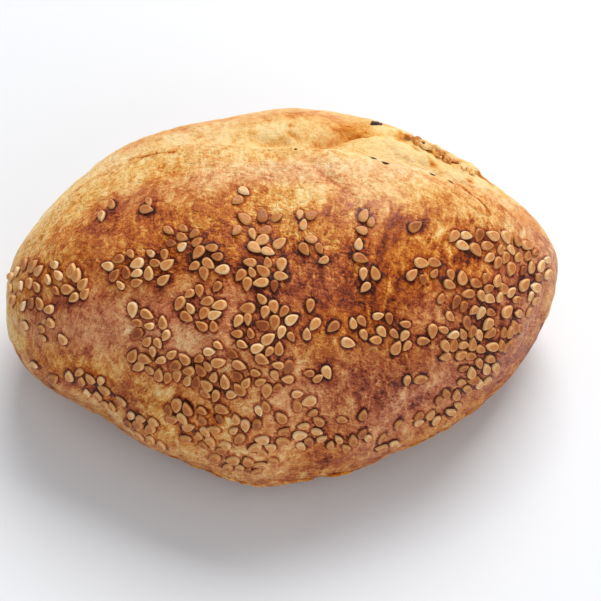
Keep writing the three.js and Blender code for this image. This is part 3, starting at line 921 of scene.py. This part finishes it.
OLIVE_BITS = [  # x, s, length, width, height, heading in degrees
    [28.2, 17, 3.2, 1.7, 0.8, 20],
    [37.6, 12.3, 2.1, 1.4, 0.5, 70],
]
RIM_CRUMB_COUNT = 18
RIM_CRUMB_SPAN = [34, 50]
RIM_CRUMB_FROM_SEAM = [11, 14.5]
RIM_CRUMB_SIZE = [1.4, 3]
CRUMB_RANDOM_START = 404
BIT_GROWTH = 1.12  # makes up for what a bit loses when it is softened
BIT_ROUGHNESS = 0.5


def bit_corners(draw, length, width, height):
    """Corners of one bit: five round its foot, five round its middle and three on top."""
    points = []
    for level, spread, corners in ((-0.6, 1, 5), (0.35, 1, 5), (0.9, 0.5, 3)):
        for k in range(corners):
            angle = 2 * math.pi * (k + 0.35 * next(draw)) / corners
            x = 0.5 * length * spread * math.cos(angle)
            y = 0.5 * width * spread * math.sin(angle)
            points.append([x, y, level * height])
    return np.array(points)


def frame_behind_seam(x, s, heading):
    """A frame on the crust at a place given by its x and its distance behind the seam."""
    along = math.acos(x / HALF_LENGTH)
    turn = np.radians(through(SEAM_TURN, x)) - s / (ROLL_RADIUS * math.sin(along))
    return frame_on_crust(along, turn, heading)


def rough_bit(corners, place):
    """The hull of a bit's corners, subdivided, softened and roughened."""
    shape = bmesh.new()
    for corner in corners:
        shape.verts.new(corner)
    hull = bmesh.ops.convex_hull(shape, input=shape.verts)
    loose = [v for v in hull["geom_interior"] if isinstance(v, bmesh.types.BMVert)]
    bmesh.ops.delete(shape, geom=loose, context="VERTS")
    every_axis = {"use_axis_x": True, "use_axis_y": True, "use_axis_z": True}
    for _ in range(3):
        bmesh.ops.subdivide_edges(shape, edges=shape.edges, cuts=1, use_grid_fill=True)
        bmesh.ops.smooth_vert(shape, verts=shape.verts, factor=0.35, **every_axis)
    bmesh.ops.triangulate(shape, faces=shape.faces)
    shape.verts.index_update()
    local = np.array([v.co[:] for v in shape.verts]) * BIT_GROWTH
    faces = [tuple(v.index for v in face.verts) for face in shape.faces]
    shape.free()
    here, *axes = place
    points = here + local @ np.array(axes)
    points = points + BIT_ROUGHNESS * (points - here) * uneven(points, 0.9, 31)[:, None]
    return points, faces


def joined(parts):
    """Several bits' points and faces as one mesh's."""
    points = []
    faces = []
    count = 0
    for part_points, part_faces in parts:
        points.append(part_points)
        faces += [tuple(count + k for k in face) for face in part_faces]
        count += len(part_points)
    return np.concatenate(points), faces


def bits_on_dough():
    """The olive bits and the rim crumbs, drawn as in the CAD part."""
    draw = random_stream(CRUMB_RANDOM_START)
    olives = []
    crumbs = []
    for x, s, length, width, height, heading in OLIVE_BITS:
        corners = bit_corners(draw, length, width, height)
        olives.append(rough_bit(corners, frame_behind_seam(x, s, math.radians(heading))))
    for k in range(RIM_CRUMB_COUNT):
        x = lerp(*RIM_CRUMB_SPAN, (k + next(draw)) / RIM_CRUMB_COUNT)
        s = lerp(*RIM_CRUMB_FROM_SEAM, next(draw))
        size = lerp(*RIM_CRUMB_SIZE, next(draw))
        place = frame_behind_seam(x, s, 2 * math.pi * next(draw))
        crumbs.append(rough_bit(bit_corners(draw, size, 0.8 * size, 0.22 * size), place))
    return joined(olives), joined(crumbs)


def crumb_looks(points):
    """What the crust's material reads at each point of the rim crumbs."""
    brown = 0.18 + 0.4 * uneven(points, 1.6, 32) + 0.2 * uneven(points, 0.7, 33)
    looks = {"browning_and_shade": np.clip(brown, 0.05, 0.95), "flow": points * MM}
    for name in ("pink", "gloss"):
        looks[name] = np.full(len(points), 0.3)
    for name in ("streaks", "veins", "coat", "slit_shade", "pool_and_shade"):
        looks[name] = np.zeros(len(points))
    return looks


# ------------ materials


def linear(*rgb):
    """A colour given as 0 to 255 on screen, as the shader takes it."""
    levels = [v / 255 for v in rgb]
    return [v / 12.92 if v <= 0.04045 else ((v + 0.055) / 1.055) ** 2.4 for v in levels] + [1]


class Material:
    """A node material, built one node at a time."""

    def __init__(self, name):
        self.made = bpy.data.materials.new(name)
        self.made.use_nodes = True
        self.nodes = self.made.node_tree.nodes
        self.links = self.made.node_tree.links
        self.shader = self.nodes["Principled BSDF"]

    def node(self, kind, inputs=None, **settings):
        made = self.nodes.new(kind)
        for key, value in settings.items():
            setattr(made, key, value)
        for key, value in (inputs or {}).items():
            self.put(value, made.inputs[key])
        return made

    def put(self, value, socket):
        if isinstance(value, bpy.types.NodeSocket):
            self.links.new(value, socket)
        else:
            socket.default_value = value

    def value(self, name, kind="Fac"):
        """A value that the mesh holds at each point."""
        return self.node("ShaderNodeAttribute", attribute_name=name).outputs[kind]

    def noise(self, size, detail=2, roughness=0.5, distortion=0, place=None):
        """Values from 0 to 1 that change over about `size` mm."""
        inputs = {
            "Vector": place or self.node("ShaderNodeTexCoord").outputs["Object"],
            "Scale": 1 / (size * MM),
            "Detail": detail,
            "Roughness": roughness,
            "Distortion": distortion,
        }
        return self.node("ShaderNodeTexNoise", inputs).outputs["Fac"]

    def wander(self, reach, size):
        """A vector of up to `reach` mm that changes over about `size` mm."""
        place = self.node("ShaderNodeTexCoord").outputs["Object"]
        noise = self.node("ShaderNodeTexNoise", {"Vector": place, "Scale": 1 / (size * MM)})
        return self.vector("MULTIPLY", noise.outputs["Color"], (reach * MM,) * 3)

    def vector(self, operation, a, b):
        made = self.node("ShaderNodeVectorMath", {0: a, 1: b}, operation=operation)
        return made.outputs["Vector"]

    def math(self, operation, a, b=0.5, c=0.5, clamp=False):
        made = self.node("ShaderNodeMath", {0: a, 1: b, 2: c}, operation=operation)
        made.use_clamp = clamp
        return made.outputs[0]

    def plus(self, base, value, share, clamp=False):
        """`base` with `share` of `value` added."""
        return self.math("MULTIPLY_ADD", value, share, base, clamp)

    def centred(self, noise):
        """Noise from 0 to 1 moved to lie round 0."""
        return self.math("SUBTRACT", noise, 0.5)

    def spread(self, value, low, high, to_low=0, to_high=1):
        """A value from `low` to `high` spread over `to_low` to `to_high`."""
        inputs = {"Value": value, "From Min": low, "From Max": high}
        inputs = {**inputs, "To Min": to_low, "To Max": to_high}
        return self.node("ShaderNodeMapRange", inputs).outputs["Result"]

    def ramp(self, value, stops):
        """The colour at `value` between stops of (place, colour)."""
        made = self.node("ShaderNodeValToRGB", {"Fac": value})
        elements = made.color_ramp.elements
        while len(elements) < len(stops):
            elements.new(0.5)
        for element, (place, colour) in zip(elements, stops):
            element.position = place
            element.color = linear(*colour)
        return made.outputs["Color"]

    def mix(self, share, a, b):
        made = self.node("ShaderNodeMix", data_type="RGBA")
        self.put(share, made.inputs[0])
        self.put(a, made.inputs[6])
        self.put(b, made.inputs[7])
        return made.outputs[2]

    def bump(self, height, distance, strength=1.0, of="Normal"):
        inputs = {"Height": height, "Distance": distance * MM, "Strength": strength}
        self.put(self.node("ShaderNodeBump", inputs).outputs["Normal"], self.shader.inputs[of])

    def set(self, **inputs):
        """Puts values on the shader's own sockets."""
        for key, value in inputs.items():
            self.put(value, self.shader.inputs[key.replace("_", " ")])


BROWN_STOPS = [
    (0.0, (252, 218, 152)),
    (0.15, (242, 196, 118)),
    (0.3, (230, 166, 82)),
    (0.45, (208, 126, 36)),
    (0.6, (182, 90, 14)),
    (0.75, (150, 60, 8)),
    (0.88, (110, 36, 8)),
    (1.0, (60, 18, 6)),
]
# A pinker, greyer ramp: partly the crust's own dustier tone, partly painted sheen, the pale veil
# that light leaves on the glaze.
PINK_STOPS = [
    (0.0, (250, 220, 176)),
    (0.15, (242, 198, 144)),
    (0.3, (230, 166, 114)),
    (0.45, (212, 138, 92)),
    (0.6, (188, 106, 68)),
    (0.75, (156, 70, 42)),
    (0.88, (112, 40, 24)),
    (1.0, (60, 20, 12)),
]
SLIT_SHADE_COLOUR = linear(44, 28, 12)
SPECULAR_TINT = linear(255, 232, 205)
SPECULAR_LEVEL = 0.26
MATT_ROUGHNESS = 0.84
GLOSS_SMOOTHER = 0.5  # how much less rough the glossiest glaze is
PINK_SHEEN = 0.17

# How much darker each of these bakes the crust, or paler where it is below 0.
STREAK_BROWNING = 0.95
FLECK_BROWNING = -0.11
CRACK_BROWNING = -0.18
VEIN_BROWNING = -0.24
SCORCH_BROWNING = 0.3
POOL_AND_SHADE_BROWNING = 0.37

ROWS_STRETCH = (0.4, 2.4, 1)  # the finest wrinkles run along the bun
VEIN_CELL = 5  # mm across the cells of the net of veins
VEIN_WANDER = 3.5  # mm


def fine_rows(m, flow):
    """The finest wrinkles, which run along the bun."""
    return m.noise(0.6, 3, 0.65, 0.6, place=m.vector("MULTIPLY", flow, ROWS_STRETCH))


def thin_cracks(m):
    """1 on thin broken lines, 0 between them."""
    line = m.math("ABSOLUTE", m.centred(m.noise(5.5, 2.5, 0.6, 0.3)))
    line = m.spread(line, 0.004, 0.036, 1, 0)
    return m.math("MULTIPLY", line, m.spread(m.noise(14, 1), 0.4, 0.58))


def vein_net(m, flow):
    """1 on a wandering net of veins that shows in some places only."""
    place = m.vector("ADD", m.wander(VEIN_WANDER, VEIN_CELL), flow)
    cells = {"Vector": place, "Scale": 1 / (VEIN_CELL * MM)}
    cells = m.node("ShaderNodeTexVoronoi", cells, feature="DISTANCE_TO_EDGE").outputs["Distance"]
    width = m.spread(m.noise(2.2, 2), 0.35, 0.65, 0.05, 0.16)
    return m.math("MULTIPLY", m.spread(cells, 0, width, 1, 0), m.spread(m.noise(9, 1), 0.42, 0.52))


def crust_material():
    m = Material("baked_crust")
    gloss = m.value("gloss")
    pool_and_shade = m.value("pool_and_shade")
    pink = m.value("pink")
    slit_shade = m.spread(m.value("slit_shade"), 0.5, 0.64)
    flow = m.value("flow", "Vector")
    grain = m.noise(1.4, 3, 0.65, 0.5)
    specks = m.noise(0.36, 2, 0.7)
    rows = fine_rows(m, flow)
    streak = m.noise(1.7, 4, 0.6, 1, place=flow)
    streak = m.math("MULTIPLY", m.centred(streak), m.value("streaks"))
    flecks = m.math("MULTIPLY", m.spread(m.noise(0.8, 2, 0.6), 0.58, 0.7), gloss)
    crack = m.math("MULTIPLY", thin_cracks(m), gloss)
    veins = m.math("MULTIPLY", vein_net(m, flow), m.value("veins"))
    scorched = m.spread(m.noise(1.1, 1.5), 0.66, 0.74)

    coarse = m.spread(gloss, 0.12, 0.5, 0.6, 0.7)
    fine = m.spread(gloss, 0.12, 0.5, 0.25, 0.65)
    brown = m.plus(m.value("browning_and_shade"), m.centred(grain), coarse)
    brown = m.plus(brown, m.centred(specks), fine)
    brown = m.plus(brown, m.centred(rows), fine)
    brown = m.plus(brown, streak, STREAK_BROWNING)
    brown = m.plus(brown, flecks, FLECK_BROWNING)
    brown = m.plus(brown, crack, CRACK_BROWNING)
    brown = m.plus(brown, veins, VEIN_BROWNING)
    brown = m.plus(brown, m.math("MULTIPLY", scorched, brown), SCORCH_BROWNING)
    # darker round the seeds: the egg wash's own browning and painted shade
    brown = m.plus(brown, pool_and_shade, POOL_AND_SHADE_BROWNING, clamp=True)
    # the pinker ramp, which carries painted sheen as well as the crust's own tone
    colour = m.mix(pink, m.ramp(brown, BROWN_STOPS), m.ramp(brown, PINK_STOPS))
    # painted shade in the gaps under the lip
    colour = m.mix(slit_shade, colour, SLIT_SHADE_COLOUR)

    rough = m.plus(MATT_ROUGHNESS, gloss, -GLOSS_SMOOTHER)
    rough = m.plus(rough, m.centred(grain), 0.25)
    rough = m.plus(rough, pool_and_shade, -0.08)
    height = m.plus(grain, specks, 0.4)
    height = m.plus(height, rows, 0.5)
    height = m.plus(height, streak, 0.8)
    height = m.plus(height, crack, -0.4)
    m.bump(height, 0.6)
    m.bump(height, 0.5, 0.8, "Coat Normal")
    m.set(Base_Color=colour, Roughness=rough, IOR=1.38, Specular_Tint=SPECULAR_TINT)
    # no specular where the shade in the gaps is painted
    m.set(Specular_IOR_Level=m.plus(SPECULAR_LEVEL, slit_shade, -SPECULAR_LEVEL))
    m.set(Coat_Weight=m.value("coat"), Coat_Roughness=0.16, Coat_IOR=1.5)
    m.set(Sheen_Weight=m.math("MULTIPLY", pink, PINK_SHEEN), Sheen_Roughness=0.35)
    return m.made


SEED_STOPS = [
    (0.0, (138, 66, 26)),
    (0.25, (180, 104, 48)),
    (0.5, (208, 142, 80)),
    (0.75, (232, 180, 118)),
    (1.0, (250, 220, 172)),
]
# The dark ring at each seed's foot: the glaze fillet round it, coloured as painted shade where the
# seed meets the crust.
SEED_FOOT_SHADE_COLOUR = linear(78, 26, 8)


def seed_material():
    m = Material("toasted_sesame")
    rim = m.value("rim")
    grain = m.noise(0.45, 2, 0.6)
    tone = m.plus(m.value("tone"), m.centred(grain), 0.45)
    tone = m.math("ADD", m.spread(rim, 0.5, 0.88, -0.1, 0.26), tone)
    # painted shade: the seed's foot darkened where it meets the crust
    foot_shade = m.spread(rim, 1.01, 1.08)
    colour = m.mix(foot_shade, m.ramp(tone, SEED_STOPS), SEED_FOOT_SHADE_COLOUR)
    m.bump(grain, 0.08)
    m.set(Base_Color=colour, Roughness=m.spread(grain, 0.3, 0.7, 0.3, 0.45), IOR=1.5)
    m.set(Specular_Tint=SPECULAR_TINT)
    return m.made


OLIVE_STOPS = [(0.3, (30, 12, 12)), (0.7, (66, 30, 26))]


def olive_material():
    m = Material("baked_olive")
    grain = m.noise(0.6, 3, 0.6)
    m.bump(grain, 0.15)
    m.set(Base_Color=m.ramp(grain, OLIVE_STOPS), Roughness=0.45)
    return m.made


# ------------ the pieces

along, turn, row_count = crust_grid()
faces = crust_faces(row_count)
points = crust(along, turn)
x = HALF_LENGTH * np.cos(along)
s = behind_seam(along, turn)
seeds = place_seeds()
crust_finish = crust_material()
looks = crust_looks(points, x, s, turn)
# the egg wash and the painted shade round the seeds, deeper low on the front
looks["pool_and_shade"] = pool_and_shade_round(seeds, points) * lerp(*POOL_AND_SHADE_DEPTH, smoothstep(-s, 20, 50))
looks["flow"] = np.stack([x, s / STREAK_STRETCH, np.zeros_like(x)], -1) * MM
normals = point_normals(points, faces)
points = points + normals * fine_relief(points, x, s, turn)[:, None]
points[:, 2] = np.maximum(points[:, 2], 0)
piece_of("crust", points, faces, crust_finish, looks)

seed_places = np.array([seed[0] for seed in seeds])
seed_alongs, seed_turns = np.array([seed[-2:] for seed in seeds]).T
seed_x = HALF_LENGTH * np.cos(seed_alongs)
lifts = fine_relief(seed_places, seed_x, behind_seam(seed_alongs, seed_turns), seed_turns)
points, faces, tones, rims = seeds_mesh(seeds, lifts)
piece_of("sesame", points, faces, seed_material(), {"tone": tones, "rim": rims})

(points, faces), (crumb_points, crumb_faces) = bits_on_dough()
piece_of("olive_bits", points, faces, olive_material(), {})
crumb_values = crumb_looks(crumb_points)
piece_of("rim_crumbs", crumb_points, crumb_faces, crust_finish, crumb_values)

# ------------ floor, light and camera

scene = bpy.context.scene
scene.view_settings.view_transform = "Standard"

HALF = 2  # of the floor's side, in m
corners = [(-HALF, -HALF, 0), (HALF, -HALF, 0), (HALF, HALF, 0), (-HALF, HALF, 0)]
floor_mesh = bpy.data.meshes.new("floor")
floor_mesh.from_pydata(corners, [], [(0, 1, 2, 3)])
floor = bpy.data.objects.new("floor", floor_mesh)
scene.collection.objects.link(floor)
pale = Material("pale_floor")
pale.set(Base_Color=[0.76, 0.775, 0.8, 1], Roughness=0.5)
floor_mesh.materials.append(pale.made)

ROOM_COLOUR = (0.95, 0.97, 1.0, 1)
ROOM_STRENGTH = 0.46
world = bpy.data.worlds.new("room")
world.use_nodes = True
background = world.node_tree.nodes["Background"]
background.inputs["Color"].default_value = ROOM_COLOUR
background.inputs["Strength"].default_value = ROOM_STRENGTH
scene.world = world

LIGHTS_AIM = (0, 0, 0.02)


def area_light(name, place, size, power, colour):
    data = bpy.data.lights.new(name, "AREA")
    data.shape = "RECTANGLE"
    data.size, data.size_y = size
    data.energy = power
    data.color = colour
    light = bpy.data.objects.new(name, data)
    light.location = place
    way = Vector(LIGHTS_AIM) - Vector(place)
    light.rotation_euler = way.to_track_quat("-Z", "Y").to_euler()
    scene.collection.objects.link(light)


area_light("window", (0.52, 1.12, 1.38), (1.3, 0.8), 32, (1.0, 0.99, 0.98))
area_light("fill", (0.3, -0.85, 0.5), (1.0, 0.7), 3.2, (1.0, 0.98, 0.95))

CAMERA_TARGET = Vector((3.546, -4.323, 20)) * MM
CAMERA_AZIMUTH = math.radians(-6.5)
CAMERA_ELEVATION = math.radians(56)
CAMERA_DISTANCE = 0.5
SENSOR_WIDTH = 36
LENS = 139.07
level = math.cos(CAMERA_ELEVATION)
back = Vector((level * math.sin(CAMERA_AZIMUTH), -level * math.cos(CAMERA_AZIMUTH), 0))
back.z = math.sin(CAMERA_ELEVATION)
camera_data = bpy.data.cameras.new("camera")
camera_data.sensor_width = SENSOR_WIDTH
camera_data.lens = LENS
camera = bpy.data.objects.new("camera", camera_data)
camera.location = CAMERA_TARGET + CAMERA_DISTANCE * back
camera.rotation_euler = (-back).to_track_quat("-Z", "Y").to_euler()
scene.collection.objects.link(camera)
scene.camera = camera
